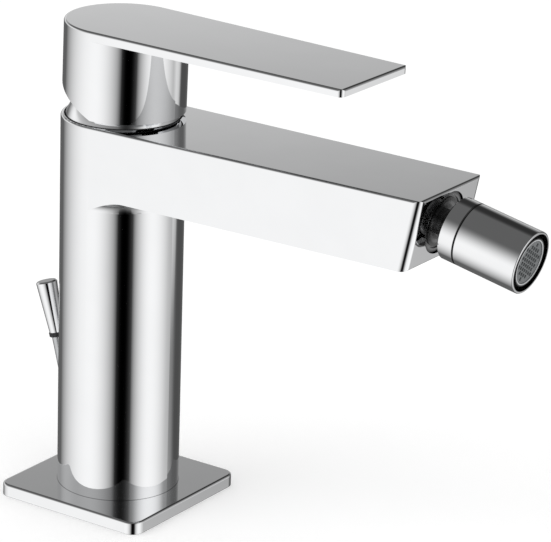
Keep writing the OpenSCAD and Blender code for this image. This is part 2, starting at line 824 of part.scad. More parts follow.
module swivel_collar() {
  color("silver") nozzle_frame() difference() {
    translate([0, 0, collar_start]) cylinder(r = nozzle_r, h = collar_len);
    ball_socket();
    translate([0, 0, collar_end - joint_lip])
      cylinder(r = thread_mid_r + seat_gap, h = joint_lip + cut);
    translate([0, 0, collar_start]) mirror([0, 0, 1]) round_chamfer(nozzle_r, 0, chamfer);
    round_chamfer(nozzle_r, collar_end, chamfer / 2);
  }
}

module nozzle_sleeve() {
  color("silver") nozzle_frame() difference() {
    union() {
      translate([0, 0, collar_end]) cylinder(r = nozzle_r, h = nozzle_reach - collar_end);
      translate([0, 0, collar_end - joint_lip]) cylinder(r = thread_mid_r, h = joint_lip + cut);
    }
    ball_socket();
    cylinder(r = sleeve_bore_r, h = nozzle_reach);
    translate([0, 0, aerator_seat])
      cylinder(r = aerator_thread_r + seat_gap, h = nozzle_reach - aerator_seat + cut);
    translate([0, 0, nozzle_reach - rim_depth]) cylinder(r = rim_bore_r, h = rim_depth + cut);
    translate([0, 0, collar_end]) mirror([0, 0, 1]) round_chamfer(nozzle_r, 0, chamfer / 2);
    translate([0, 0, 0]) ring_edge_waste(nozzle_r, nozzle_reach, chamfer);
  }
}

module aerator_gasket() {
  color("dimgray") nozzle_frame()
    tube(aerator_thread_r - run_gap, sleeve_bore_r + 0.6, aerator_seat, aerator_seat + gasket_ring_t);
}

// Flow insert: a cup with a ring of jet holes round a central cone
module flow_insert() {
  low = aerator_seat + gasket_ring_t;
  color("lightsteelblue") nozzle_frame() difference() {
    translate([0, 0, low]) cylinder(r = screen_r - run_gap / 2, h = insert_len);
    translate([0, 0, low + 2]) cylinder(r = screen_r - 1.2, h = insert_len);
    for (turn = [0:11]) rotate([0, 0, 30 * turn]) translate([screen_r - 2.6, 0, low - cut])
      cylinder(r = 0.6, h = 4);
  }
}

// Threaded aerator cage with a thinner front ring
module aerator_housing() {
  low = aerator_seat + gasket_ring_t;
  step = nozzle_reach - rim_depth;
  color("gray") nozzle_frame() difference() {
    union() {
      translate([0, 0, low]) cylinder(r = aerator_thread_r, h = step - low);
      translate([0, 0, low]) cylinder(r = aerator_r, h = aerator_front - low);
    }
    translate([0, 0, low - cut]) cylinder(r = screen_r, h = trim);
  }
}

// Honeycomb plate in the aerator's mouth
module aerator_screen() {
  front = aerator_front - screen_inset;
  rows = floor(screen_r / (cell_pitch * sin(60)));
  cell_r = (cell_pitch - cell_wall) / 2 / cos(30);
  color("dimgray") nozzle_frame() difference() {
    translate([0, 0, front - screen_t]) cylinder(r = screen_r - seat_gap, h = screen_t);
    for (row = [-rows:rows], col = [-rows - 1:rows + 1]) {
      x = cell_pitch * (col + (row % 2 == 0 ? 0 : 0.5));
      y = cell_pitch * sin(60) * row;
      if (norm([x, y]) < screen_r - cell_pitch * 0.75)
        translate([x, y, front - screen_t - cut]) rotate([0, 0, 30])
          cylinder(r = cell_r, h = screen_t + 2 * cut, $fn = 6);
    }
  }
}

module popup_rod() {
  color("gray") rod_frame() translate([0, 0, -rod_len])
    cylinder(r = rod_r, h = rod_len + rod_in_knob);
}

// Tapered knob with a softened top edge
module popup_knob() {
  color("silver") rod_frame() difference() {
    rotate_extrude() polygon([
      [0, 0], [knob_end_r, 0], [knob_top_r, knob_len - knob_edge_r],
      [knob_top_r - knob_edge_r, knob_len], [0, knob_len]
    ]);
    translate([0, 0, -cut]) cylinder(r = rod_r + seat_gap / 2, h = rod_in_knob + cut);
  }
}

module rod_bush() {
  color("dimgray") rod_frame()
    tube(bush_r, bush_bore_r, -bush_start - bush_len, -bush_start);
}

body_casting();
base_plate();
base_gasket();
foot_connector();
foot_seal();
lever_handle();
handle_screw();
screw_plug();
dome_cover();
cartridge_nut();
cartridge_housing();
housing_seal();
cartridge_base();
cartridge_seals();
fixed_disc();
moving_disc();
disc_carrier();
rotor();
lever_stem();
stem_pin();
ball_nipple();
nipple_seal();
ball_liner();
swivel_collar();
nozzle_sleeve();
aerator_gasket();
flow_insert();
aerator_housing();
aerator_screen();
popup_rod();
popup_knob();
rod_bush();
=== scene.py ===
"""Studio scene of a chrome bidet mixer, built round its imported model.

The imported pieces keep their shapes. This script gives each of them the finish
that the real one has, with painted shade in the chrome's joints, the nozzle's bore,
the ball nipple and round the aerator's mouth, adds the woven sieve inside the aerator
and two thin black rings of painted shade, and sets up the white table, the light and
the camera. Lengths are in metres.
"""
import json
import math

import bpy
import numpy as np
from mathutils import Matrix, Vector


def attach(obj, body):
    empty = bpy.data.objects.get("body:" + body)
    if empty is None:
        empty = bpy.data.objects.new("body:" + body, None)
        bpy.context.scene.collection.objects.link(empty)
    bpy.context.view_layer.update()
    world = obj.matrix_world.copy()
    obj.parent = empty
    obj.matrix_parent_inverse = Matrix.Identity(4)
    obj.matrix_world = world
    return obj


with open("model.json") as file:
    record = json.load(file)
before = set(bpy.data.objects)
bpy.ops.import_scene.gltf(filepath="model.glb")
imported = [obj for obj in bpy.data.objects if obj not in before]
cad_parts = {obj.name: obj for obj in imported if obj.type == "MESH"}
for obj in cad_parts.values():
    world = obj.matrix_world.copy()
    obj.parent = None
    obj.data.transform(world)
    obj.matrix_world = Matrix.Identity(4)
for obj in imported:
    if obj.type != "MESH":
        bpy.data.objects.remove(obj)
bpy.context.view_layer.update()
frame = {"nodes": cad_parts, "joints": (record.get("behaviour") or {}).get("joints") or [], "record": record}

bl_info = {
    "name": "Bidet mixer studio",
    "version": (1, 0, 0),
    "blender": (4, 5, 0),
    "location": "3D View > Sidebar > Bidet mixer",
    "description": "Finishes, aerator sieve, thin rings, table, light and camera for the bidet mixer",
    "category": "Object",
}

MM = 0.001
JOINTS = {joint["name"]: joint for joint in frame["joints"]}
SUBPARTS = frame["record"]["subparts"]
SENSOR_WIDTH_MM = 36.0

# Wall between the nozzle's skin and its bore, which is darkened with painted shade, and the width of the
# shade's soft edge
BORE_WALL = 0.7 * MM
BORE_EDGE = 0.1 * MM

# Distances from the joint of the nozzle's two shells between which its line of painted shade fades out
JOINT_LINE = (0.30 * MM, 0.42 * MM)

# The fine pale ring at the aerator's mouth: its depth and its width, and the soft edge of each
LIP_DEPTH = 0.3 * MM
LIP_WIDTH = 0.35 * MM
LIP_DEPTH_EDGE = 0.15 * MM
LIP_WIDTH_EDGE = 0.12 * MM

# Each soft lamp's name, place, side and power in watts
LAMPS = (
    ("key_lamp", (-0.75, -0.95, 1.15), 1.2, 5.0),
    ("fill_lamp", (1.1, -0.35, 0.95), 1.0, 2.2),
)

# Brightness of the studio's small cards, and the share of the room's light that its dark parts take
STRIP_LEVEL = 0.5
FLOOR_CARD_LEVEL = 0.42
SIDE_CARD_LEVEL = 0.46
HORIZON_LEVEL = 0.3
FLAG_SHARE = 0.75
CORNER_SHARE = 0.35

# Weights of the backdrop's two bands: the first fades out by 19 degrees of elevation, the second by 31
BACKDROP_LOW = 0.72
BACKDROP_HIGH = 0.51

# Elevations between which each white panel fades in from the point straight below
PANEL_FOOT = (-90.0, -30.0)

# What the camera sees on the table beyond its lit colour
TABLE_GLOW = 0.2

# Points round each thin ring and round its section, and how far the cover ring lies outside the cover
COVER_RING_TURNS = 240
KNOB_RING_TURNS = 64
SECTION_POINTS = 16
COVER_RING_SEAT = 0.075 * MM

# Points round each wire of the sieve, and steps along it in the length of one pitch
WIRE_SIDES = 6
WIRE_STEPS = 3


# Sizes, colours and places that a user would change

class MixerFinish(bpy.types.PropertyGroup):
    """Colours and gloss of the mixer's pieces."""

    chrome_colour: bpy.props.FloatVectorProperty(
        name="Chrome colour", description="Reflected colour of the polished chrome plating",
        subtype="COLOR", size=3, min=0.0, max=1.0, default=(0.905, 0.91, 0.918),
    )
    chrome_roughness: bpy.props.FloatProperty(
        name="Chrome roughness", description="Blur of the plating's reflections",
        subtype="FACTOR", min=0.0, max=0.3, default=0.035,
    )
    steel_colour: bpy.props.FloatVectorProperty(
        name="Steel colour", description="Reflected colour of the satin steel",
        subtype="COLOR", size=3, min=0.0, max=1.0, default=(0.60, 0.61, 0.62),
    )
    brass_colour: bpy.props.FloatVectorProperty(
        name="Brass colour", description="Reflected colour of the machined brass",
        subtype="COLOR", size=3, min=0.0, max=1.0, default=(0.72, 0.53, 0.24),
    )
    rubber_colour: bpy.props.FloatVectorProperty(
        name="Rubber colour", description="Colour of the seals and the gaskets",
        subtype="COLOR", size=3, min=0.0, max=1.0, default=(0.018, 0.018, 0.019),
    )
    housing_colour: bpy.props.FloatVectorProperty(
        name="Housing colour", description="Colour of the cartridge's housing and base",
        subtype="COLOR", size=3, min=0.0, max=1.0, default=(0.76, 0.76, 0.73),
    )
    carrier_colour: bpy.props.FloatVectorProperty(
        name="Carrier colour", description="Colour of the rotor, the disc carrier and the flow insert",
        subtype="COLOR", size=3, min=0.0, max=1.0, default=(0.21, 0.34, 0.48),
    )
    aerator_colour: bpy.props.FloatVectorProperty(
        name="Aerator colour", description="Colour of the aerator's front ring",
        subtype="COLOR", size=3, min=0.0, max=1.0, default=(0.60, 0.61, 0.62),
    )
    screen_colour: bpy.props.FloatVectorProperty(
        name="Screen colour", description="Colour of the aerator's honeycomb",
        subtype="COLOR", size=3, min=0.0, max=1.0, default=(0.175, 0.184, 0.188),
    )
    ceramic_colour: bpy.props.FloatVectorProperty(
        name="Ceramic colour", description="Colour of the lapped ceramic discs",
        subtype="COLOR", size=3, min=0.0, max=1.0, default=(0.84, 0.83, 0.79),
    )


class MixerSieve(bpy.types.PropertyGroup):
    """Sizes of the woven sieve behind the aerator's honeycomb."""

    pitch: bpy.props.FloatProperty(
        name="Wire pitch", description="Distance between neighbouring wires",
        subtype="DISTANCE", unit="LENGTH", min=0.3 * MM, max=1.2 * MM, default=0.6 * MM,
    )
    wire: bpy.props.FloatProperty(
        name="Wire diameter", description="Diameter of each wire",
        subtype="DISTANCE", unit="LENGTH", min=0.08 * MM, max=0.3 * MM, default=0.18 * MM,
    )
    gap: bpy.props.FloatProperty(
        name="Gap to the honeycomb", description="Clear distance between the sieve and the honeycomb",
        subtype="DISTANCE", unit="LENGTH", min=0.1 * MM, max=1.5 * MM, default=0.3 * MM,
    )


class MixerRings(bpy.types.PropertyGroup):
    """Sizes of the thin black rings of painted shade in two joints."""

    cover_section: bpy.props.FloatProperty(
        name="Cover ring", description="Thickness of the ring between the dome cover and the body",
        subtype="DISTANCE", unit="LENGTH", min=0.2 * MM, max=0.9 * MM, default=0.35 * MM,
    )
    knob_length: bpy.props.FloatProperty(
        name="Knob ring length", description="Length of the ring below the pop-up knob",
        subtype="DISTANCE", unit="LENGTH", min=0.6 * MM, max=3.0 * MM, default=1.5 * MM,
    )
    knob_step: bpy.props.FloatProperty(
        name="Knob ring wall", description="Distance by which the ring stands out from the pop-up rod",
        subtype="DISTANCE", unit="LENGTH", min=0.3 * MM, max=1.2 * MM, default=0.75 * MM,
    )


class MixerStudio(bpy.types.PropertyGroup):
    """Places and levels of the camera, the table and the light."""

    target: bpy.props.FloatVectorProperty(
        name="Target", description="Point at the middle of the picture",
        subtype="TRANSLATION", unit="LENGTH", size=3, default=(0.06291, 0.0, 0.09398),
    )
    distance: bpy.props.FloatProperty(
        name="Camera distance", description="Distance from the target to the camera",
        subtype="DISTANCE", unit="LENGTH", min=0.3, max=5.0, default=1.0456,
    )
    azimuth: bpy.props.FloatProperty(
        name="Camera azimuth", description="Turn of the camera to the right of the front view",
        subtype="ANGLE", unit="ROTATION", default=math.radians(33.79),
    )
    elevation: bpy.props.FloatProperty(
        name="Camera elevation", description="Height of the camera as an angle over the table",
        subtype="ANGLE", unit="ROTATION", default=math.radians(19.215),
    )
    roll: bpy.props.FloatProperty(
        name="Camera roll", description="Turn of the camera about its own line of sight",
        subtype="ANGLE", unit="ROTATION", default=math.radians(1.877),
    )
    lens: bpy.props.FloatProperty(
        name="Lens", description="Focal length on a sensor 36 mm wide",
        subtype="DISTANCE_CAMERA", unit="CAMERA", min=35.0, max=400.0, default=208.8,
    )
    table_radius: bpy.props.FloatProperty(
        name="Table radius", description="Radius of the round white table",
        subtype="DISTANCE", unit="LENGTH", min=0.5, max=12.0, default=6.0,
    )
    table_colour: bpy.props.FloatVectorProperty(
        name="Table colour", description="Colour of the table",
        subtype="COLOR", size=3, min=0.0, max=1.0, default=(0.93, 0.93, 0.93),
    )
    soft_level: bpy.props.FloatProperty(
        name="Soft light", description="Level of the even light that falls on the pieces from all sides",
        subtype="FACTOR", min=0.0, max=1.0, default=0.8,
    )
    panel_level: bpy.props.FloatProperty(
        name="White panels", description="Brightness of the two white panels that the chrome reflects",
        min=0.0, max=2.0, default=0.9,
    )
    room_level: bpy.props.FloatProperty(
        name="Room", description="Brightness of the dim room behind the mixer that the chrome reflects",
        min=0.0, max=1.0, default=0.12,
    )
    backdrop_level: bpy.props.FloatProperty(
        name="Backdrop", description="Brightness of the far backdrop that the level faces reflect",
        min=0.0, max=1.0, default=0.51,
    )


# Small helpers for node trees

class NodeMaths:
    """Adds Math nodes to one node tree, so that a formula can be written as nested calls."""

    def __init__(self, tree):
        self.tree = tree

    def feed(self, socket, value):
        """Links an output to the socket, or sets the socket's number."""
        if isinstance(value, bpy.types.NodeSocket):
            self.tree.links.new(value, socket)
        else:
            socket.default_value = value

    def do(self, operation, *values):
        """One Math node on one to three values."""
        node = self.tree.nodes.new("ShaderNodeMath")
        node.operation = operation
        for socket, value in zip(node.inputs, values):
            self.feed(socket, value)
        return node.outputs[0]

    def add(self, *values):
        """Sum of the values."""
        total = values[0]
        for value in values[1:]:
            total = self.do("ADD", total, value)
        return total

    def times(self, *values):
        """Product of the values."""
        product = values[0]
        for value in values[1:]:
            product = self.do("MULTIPLY", product, value)
        return product

    def rise(self, value, low, high):
        """0 below low and 1 above high, with a smooth step between them."""
        node = self.tree.nodes.new("ShaderNodeMapRange")
        node.interpolation_type = "SMOOTHSTEP"
        self.feed(node.inputs["Value"], value)
        node.inputs["From Min"].default_value = low
        node.inputs["From Max"].default_value = high
        return node.outputs["Result"]

    def fall(self, value, low, high):
        """1 below low and 0 above high, with a smooth step between them."""
        return self.do("SUBTRACT", 1.0, self.rise(value, low, high))

    def turned_by(self, azimuth, centre):
        """Azimuth measured from centre, from -180 to 180 degrees."""
        return self.do("WRAP", self.do("SUBTRACT", azimuth, centre), 180.0, -180.0)


def new_tree(owner):
    """Empties the owner's node tree and returns it."""
    owner.use_nodes = True
    owner.node_tree.nodes.clear()
    return owner.node_tree


def add_node(tree, kind, **values):
    """Adds a node. A value is set on the input of that name, with _ read as a blank."""
    node = tree.nodes.new(kind)
    for name, value in values.items():
        node.inputs[name.replace("_", " ")].default_value = value
    return node


def object_coordinates(tree, stretch=(1.0, 1.0, 1.0)):
    """Object coordinates, stretched by a Mapping node."""
    place = tree.nodes.new("ShaderNodeTexCoord")
    mapping = add_node(tree, "ShaderNodeMapping", Scale=stretch)
    tree.links.new(place.outputs["Object"], mapping.inputs["Vector"])
    return mapping.outputs["Vector"]


def noise(tree, where, scale, detail=2.0, roughness=0.5):
    """Noise texture from 0 to 1 at a scale in cells per metre."""
    node = add_node(tree, "ShaderNodeTexNoise", Scale=scale, Detail=detail, Roughness=roughness)
    tree.links.new(where, node.inputs["Vector"])
    return node.outputs["Fac"]


def spread(tree, value, low, high, at=(0.3, 0.7)):
    """Carries a 0 to 1 pattern onto the range from low to high."""
    node = add_node(tree, "ShaderNodeMapRange", From_Min=at[0], From_Max=at[1], To_Min=low, To_Max=high)
    tree.links.new(value, node.inputs["Value"])
    return node.outputs["Result"]


def two_tones(tree, value, dark, light, at=(0.35, 0.65)):
    """Colour ramp between two colours, driven by a pattern."""
    ramp = tree.nodes.new("ShaderNodeValToRGB")
    ramp.color_ramp.elements[0].position = at[0]
    ramp.color_ramp.elements[1].position = at[1]
    ramp.color_ramp.elements[0].color = (*dark, 1.0)
    ramp.color_ramp.elements[1].color = (*light, 1.0)
    tree.links.new(value, ramp.inputs["Fac"])
    return ramp.outputs["Color"]


def relief(tree, shader, height, depth):
    """Bump of the given depth in metres on a shader's normal."""
    bump = add_node(tree, "ShaderNodeBump", Strength=1.0, Distance=depth)
    tree.links.new(height, bump.inputs["Height"])
    tree.links.new(bump.outputs["Normal"], shader.inputs["Normal"])


def crevice_shade(tree, reach, darkest):
    """Painted shade: a factor that is 1 on open faces and falls to darkest in a joint narrower than the
    reach.
    """
    occlusion = add_node(tree, "ShaderNodeAmbientOcclusion", Distance=reach)
    occlusion.samples = 8
    return spread(tree, occlusion.outputs["AO"], darkest, 1.0, at=(0.35, 0.8))


def dimmed(tree, colour, factor):
    """The colour socket multiplied by a factor socket."""
    scale = tree.nodes.new("ShaderNodeVectorMath")
    scale.operation = "SCALE"
    tree.links.new(colour, scale.inputs[0])
    tree.links.new(factor, scale.inputs["Scale"])
    return scale.outputs["Vector"]


def nozzle_coordinates(tree):
    """Object coordinates measured from the nozzle's joint, with Z along its axis.

    Returns the vector, the distance along the axis and the radius about it, in metres.
    """
    place = tree.nodes.new("ShaderNodeTexCoord")
    mapping = tree.nodes.new("ShaderNodeMapping")
    mapping.vector_type = "TEXTURE"
    mapping.inputs["Location"].default_value = JOINTS["nozzle_turn"]["pos_m"]
    mapping.inputs["Rotation"].default_value = (
        Vector(JOINTS["nozzle_turn"]["axis"]).to_track_quat("Z", "Y").to_euler()
    )
    tree.links.new(place.outputs["Object"], mapping.inputs["Vector"])
    parts = tree.nodes.new("ShaderNodeSeparateXYZ")
    tree.links.new(mapping.outputs["Vector"], parts.inputs["Vector"])
    maths = NodeMaths(tree)
    x, y = parts.outputs["X"], parts.outputs["Y"]
    radius = maths.do("SQRT", maths.add(maths.times(x, x), maths.times(y, y)))
    return mapping.outputs["Vector"], parts.outputs["Z"], radius


def shaded(colour, factor):
    """The colour made darker or lighter by a factor, kept from 0 to 1."""
    return tuple(min(1.0, channel * factor) for channel in colour)


def surface_material(name):
    """New material with an empty Principled surface. Returns the material, its tree and the shader."""
    material = bpy.data.materials.new(name)
    tree = new_tree(material)
    shader = tree.nodes.new("ShaderNodeBsdfPrincipled")
    output = tree.nodes.new("ShaderNodeOutputMaterial")
    tree.links.new(shader.outputs["BSDF"], output.inputs["Surface"])
    return material, tree, shader


# Finishes

def polished_chrome(finish, name="polished_chrome", shade_of=None):
    """Mirror plating with faint buffing streaks, a slight waviness and painted shade in its joints.

    A function of the tree can give a further factor of painted shade that darkens some places.
    """
    material, tree, shader = surface_material(name)
    shader.inputs["Metallic"].default_value = 1.0
    haze = noise(tree, object_coordinates(tree), scale=70.0, detail=3.0)
    streaks = noise(tree, object_coordinates(tree, (1.0, 1.0, 0.05)), scale=900.0, detail=2.0)
    maths = NodeMaths(tree)
    blur = maths.add(
        spread(tree, haze, low=-0.008, high=0.010),
        spread(tree, streaks, low=-0.004, high=0.006),
        finish.chrome_roughness,
    )
    tree.links.new(blur, shader.inputs["Roughness"])
    tint = two_tones(tree, haze, shaded(finish.chrome_colour, 0.985), finish.chrome_colour)
    # Painted shade: the colour is darkened in narrow joints and crevices, where shade falls
    shade = crevice_shade(tree, reach=0.5 * MM, darkest=0.3)
    if shade_of:
        shade = maths.times(shade, shade_of(tree))
    tree.links.new(dimmed(tree, tint, shade), shader.inputs["Base Color"])
    waves = noise(tree, object_coordinates(tree), scale=45.0, detail=1.0)
    relief(tree, shader, waves, depth=0.004 * MM)
    return material


def nozzle_shade(tree):
    """Painted shade: darkens the nozzle's bore and the narrow joint of its two shells, where shade falls."""
    _back, joint, outer_radius = span_along("swivel_collar", *nozzle_axis())
    _vector, along, radius = nozzle_coordinates(tree)
    maths = NodeMaths(tree)
    bore = outer_radius - BORE_WALL
    # Painted shade inside the bore, and along the joint of the two shells
    outside = spread(tree, radius, low=0.12, high=1.0, at=(bore - BORE_EDGE, bore))
    away = maths.do("ABSOLUTE", maths.do("SUBTRACT", along, joint))
    return maths.times(outside, spread(tree, away, low=0.06, high=1.0, at=JOINT_LINE))


def turned_metal_painted_shade(finish):
    """Turned metal darkened with painted shade of the recess it sits in; its paler rings round the nozzle's
    axis are turned rings that also paint the bright arcs on its threads.
    """
    material, tree, shader = surface_material("turned_metal_painted_shade")
    shader.inputs["Metallic"].default_value = 1.0
    vector, _along, radius = nozzle_coordinates(tree)
    rings = add_node(tree, "ShaderNodeTexWave", Scale=120.0, Distortion=0.0)
    rings.wave_type = "RINGS"
    rings.rings_direction = "Z"
    tree.links.new(vector, rings.inputs["Vector"])
    # Painted shade: the colour is a small fraction of the chrome's, and the paler rings are painted
    # highlights
    tint = two_tones(
        tree, rings.outputs["Fac"], shaded(finish.chrome_colour, 0.17), shaded(finish.chrome_colour, 0.36),
        at=(0.3, 0.9),
    )
    tree.links.new(tint, shader.inputs["Base Color"])
    haze = noise(tree, object_coordinates(tree), scale=160.0, detail=2.0)
    tree.links.new(spread(tree, haze, low=0.24, high=0.32), shader.inputs["Roughness"])
    return material


def aerator_plastic_painted_shade(finish):
    """Moulded plastic that is black away from a fine pale ring round the mouth: the black is partly the
    housing's own colour and partly painted shade of the dark gap round the mouth.
    """
    lip_start = span_along("aerator_housing", *nozzle_axis())[1] - LIP_DEPTH
    lip_radius = span_along("aerator_screen", *nozzle_axis())[2] + LIP_WIDTH
    material = moulded_plastic("aerator_plastic_painted_shade", finish.aerator_colour, roughness=0.34, grain_mm=0.006)
    tree = material.node_tree
    shader = tree.nodes["Principled BSDF"]
    tint = shader.inputs["Base Color"].links[0].from_socket
    _vector, along, radius = nozzle_coordinates(tree)
    front = spread(tree, along, low=0.0, high=1.0, at=(lip_start, lip_start + LIP_DEPTH_EDGE))
    inner = spread(tree, radius, low=1.0, high=0.0, at=(lip_radius, lip_radius + LIP_WIDTH_EDGE))
    # Painted shade: away from the pale lip the colour falls to 0.04 of the ring's colour
    lip = spread(tree, NodeMaths(tree).times(front, inner), low=0.04, high=1.0, at=(0.0, 1.0))
    tree.links.new(dimmed(tree, tint, lip), shader.inputs["Base Color"])
    return material


def satin_steel(finish):
    """Drawn steel with fine lines along the rod."""
    material, tree, shader = surface_material("satin_steel")
    shader.inputs["Metallic"].default_value = 1.0
    lines = noise(tree, object_coordinates(tree, (1.0, 1.0, 0.02)), scale=2600.0, detail=3.0)
    tree.links.new(spread(tree, lines, low=0.22, high=0.36), shader.inputs["Roughness"])
    tint = two_tones(tree, lines, shaded(finish.steel_colour, 0.86), finish.steel_colour)
    tree.links.new(tint, shader.inputs["Base Color"])
    relief(tree, shader, lines, depth=0.006 * MM)
    return material


def machined_brass(finish):
    """Turned brass: rings left by the tool, and a slow change towards a redder tarnish."""
    material, tree, shader = surface_material("machined_brass")
    shader.inputs["Metallic"].default_value = 1.0
    where = object_coordinates(tree)
    rings = add_node(tree, "ShaderNodeTexWave", Scale=900.0, Distortion=0.6)
    rings.bands_direction = "Z"
    tree.links.new(where, rings.inputs["Vector"])
    patches = noise(tree, where, scale=140.0, detail=4.0)
    red, green, blue = finish.brass_colour
    tint = two_tones(tree, patches, (red * 0.86, green * 0.74, blue * 0.62), finish.brass_colour)
    tree.links.new(tint, shader.inputs["Base Color"])
    tree.links.new(spread(tree, patches, low=0.20, high=0.34), shader.inputs["Roughness"])
    relief(tree, shader, rings.outputs["Fac"], depth=0.008 * MM)
    return material


def moulded_rubber(finish):
    """Dull black rubber with a fine mould grain and paler rubbed patches."""
    material, tree, shader = surface_material("moulded_rubber")
    where = object_coordinates(tree)
    patches = noise(tree, where, scale=220.0, detail=4.0)
    tint = two_tones(tree, patches, finish.rubber_colour, shaded(finish.rubber_colour, 2.2))
    tree.links.new(tint, shader.inputs["Base Color"])
    tree.links.new(spread(tree, patches, low=0.62, high=0.82), shader.inputs["Roughness"])
    shader.inputs["Specular IOR Level"].default_value = 0.35
    relief(tree, shader, noise(tree, where, scale=5200.0, detail=3.0), depth=0.02 * MM)
    return material


def moulded_plastic(name, colour, roughness, grain_mm):
    """Moulded plastic: a fine spark-eroded grain, flow marks in the gloss and a slight change of tone."""
    material, tree, shader = surface_material(name)
    where = object_coordinates(tree)
    flow = noise(tree, where, scale=160.0, detail=5.0, roughness=0.6)
    tint = two_tones(tree, flow, shaded(colour, 0.92), shaded(colour, 1.03))
    tree.links.new(tint, shader.inputs["Base Color"])
    gloss = spread(tree, flow, low=roughness - 0.06, high=roughness + 0.06)
    tree.links.new(gloss, shader.inputs["Roughness"])
    shader.inputs["IOR"].default_value = 1.5
    relief(tree, shader, noise(tree, where, scale=4200.0, detail=2.0), depth=grain_mm * MM)
    return material


def lapped_ceramic(finish):
    """Dense white ceramic, lapped to a low gloss, with faint specks."""
    material, tree, shader = surface_material("lapped_ceramic")
    where = object_coordinates(tree)
    specks = add_node(tree, "ShaderNodeTexVoronoi", Scale=2400.0)
    tree.links.new(where, specks.inputs["Vector"])
    tint = two_tones(
        tree, specks.outputs["Distance"], shaded(finish.ceramic_colour, 0.88), finish.ceramic_colour,
        at=(0.05, 0.25),
    )
    tree.links.new(tint, shader.inputs["Base Color"])
    gloss = spread(tree, noise(tree, where, scale=300.0), low=0.12, high=0.22)
    tree.links.new(gloss, shader.inputs["Roughness"])
    shader.inputs["Specular IOR Level"].default_value = 0.6
    return material


def nozzle_axis():
    """Place of the nozzle's joint and the unit vector along its axis."""
    return np.array(JOINTS["nozzle_turn"]["pos_m"], float), unit(JOINTS["nozzle_turn"]["axis"])


def finish_node(name, material):
    """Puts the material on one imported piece."""
    for slot in frame["nodes"][name].material_slots:
        slot.material = material


def give_finish(slot_name, material):
    """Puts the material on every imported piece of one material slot."""
    named = [row["node"] for row in SUBPARTS if row["material_slot"] == slot_name]
    if not named:
        raise RuntimeError(f"no packed piece has the material slot {slot_name}")
    for name in named:
        finish_node(name, material)


# Surfaces worked out with numpy

def unit(vector):
    """The vector at length 1."""
    return np.asarray(vector, float) / np.linalg.norm(vector)


def span_along(node, origin, axis):
    """Lowest and highest distance along the axis, and the largest radius about it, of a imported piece."""
    mesh = frame["nodes"][node].data
    points = np.empty(len(mesh.vertices) * 3)
    mesh.vertices.foreach_get("co", points)
    offset = points.reshape(-1, 3) - origin
    along = offset @ axis
    radius = np.linalg.norm(offset - np.outer(along, axis), axis=1)
    return along.min(), along.max(), radius.max()


def wire_grid(centre, across, beside, normal, radius, pitch, wire_r, phase):
    """Parallel woven wires that fill a disc.

    Wire k lies at y = k times the pitch beside the centre and runs along x over the
    disc's chord, so |x| is at most the square root of radius squared less y squared.
    Its height is wire_r times the sine of pi (x / pitch + k + phase), which takes it
    over one crossing wire and under the next. A ring of points at wire_r round that
    line is carried along it. Returns the points, the sides and the end caps.
    """
    steps = 2 * int(radius / pitch) * WIRE_STEPS
    count = int((radius - wire_r) / pitch)
    k = np.arange(-count, count + 1)[:, None, None]
    t = np.linspace(-1, 1, steps)[None, :, None]
    turn = (np.arange(WIRE_SIDES) * 2 * np.pi / WIRE_SIDES)[None, None, :]
    y = k * pitch
    x = t * np.sqrt(radius ** 2 - y ** 2) + 0 * turn
    height = wire_r * np.sin(np.pi * (x / pitch + k + phase))
    points = (
        centre
        + x[..., None] * across
        + (y + wire_r * np.cos(turn) + 0 * x)[..., None] * beside
        + (height + wire_r * np.sin(turn))[..., None] * normal
    )
    number = np.arange(points[..., 0].size).reshape(points.shape[:3])
    nearer, further = number[:, :-1], number[:, 1:]
    quads = np.stack(
        [nearer, further, np.roll(further, -1, axis=2), np.roll(nearer, -1, axis=2)], axis=-1
    ).reshape(-1, 4)
    caps = np.concatenate([number[:, 0, :], number[:, -1, ::-1]])
    return points.reshape(-1, 3), quads, caps


def ring_surface(origin, axis, radius, height, turns):
    """A closed section carried round an axis that is square to Y.

    Section point i has the distance radius i from the axis and height i along it. At
    turn t it lies at the origin plus radius (cos t across + sin t beside) plus height
    along the axis. Returns the points and the faces.
    """
    across = np.array([0.0, 1.0, 0.0])
    beside = np.cross(axis, across)
    t = np.linspace(0, 2 * np.pi, turns, endpoint=False)[:, None, None]
    r, h = np.asarray(radius)[None, :, None], np.asarray(height)[None, :, None]
    points = origin + r * (np.cos(t) * across + np.sin(t) * beside) + h * axis
    number = np.arange(points[..., 0].size).reshape(points.shape[:2])
    ahead = np.roll(number, -1, axis=0)
    faces = np.stack([number, ahead, np.roll(ahead, -1, axis=1), np.roll(number, -1, axis=1)], axis=-1)
    return points.reshape(-1, 3), faces.reshape(-1, 4).tolist()


def new_piece(name, points, faces, body, material):
    """Makes a smooth mesh piece with the given finish that rides on a body."""
    mesh = bpy.data.meshes.new(name)
    mesh.from_pydata(points, [], faces)
    mesh.polygons.foreach_set("use_smooth", np.ones(len(mesh.polygons), bool))
    mesh.materials.append(material)
    mesh.update()
    piece = bpy.data.objects.new(name, mesh)
    bpy.context.scene.collection.objects.link(piece)
    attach(piece, body)
    return piece


# Light, table and camera

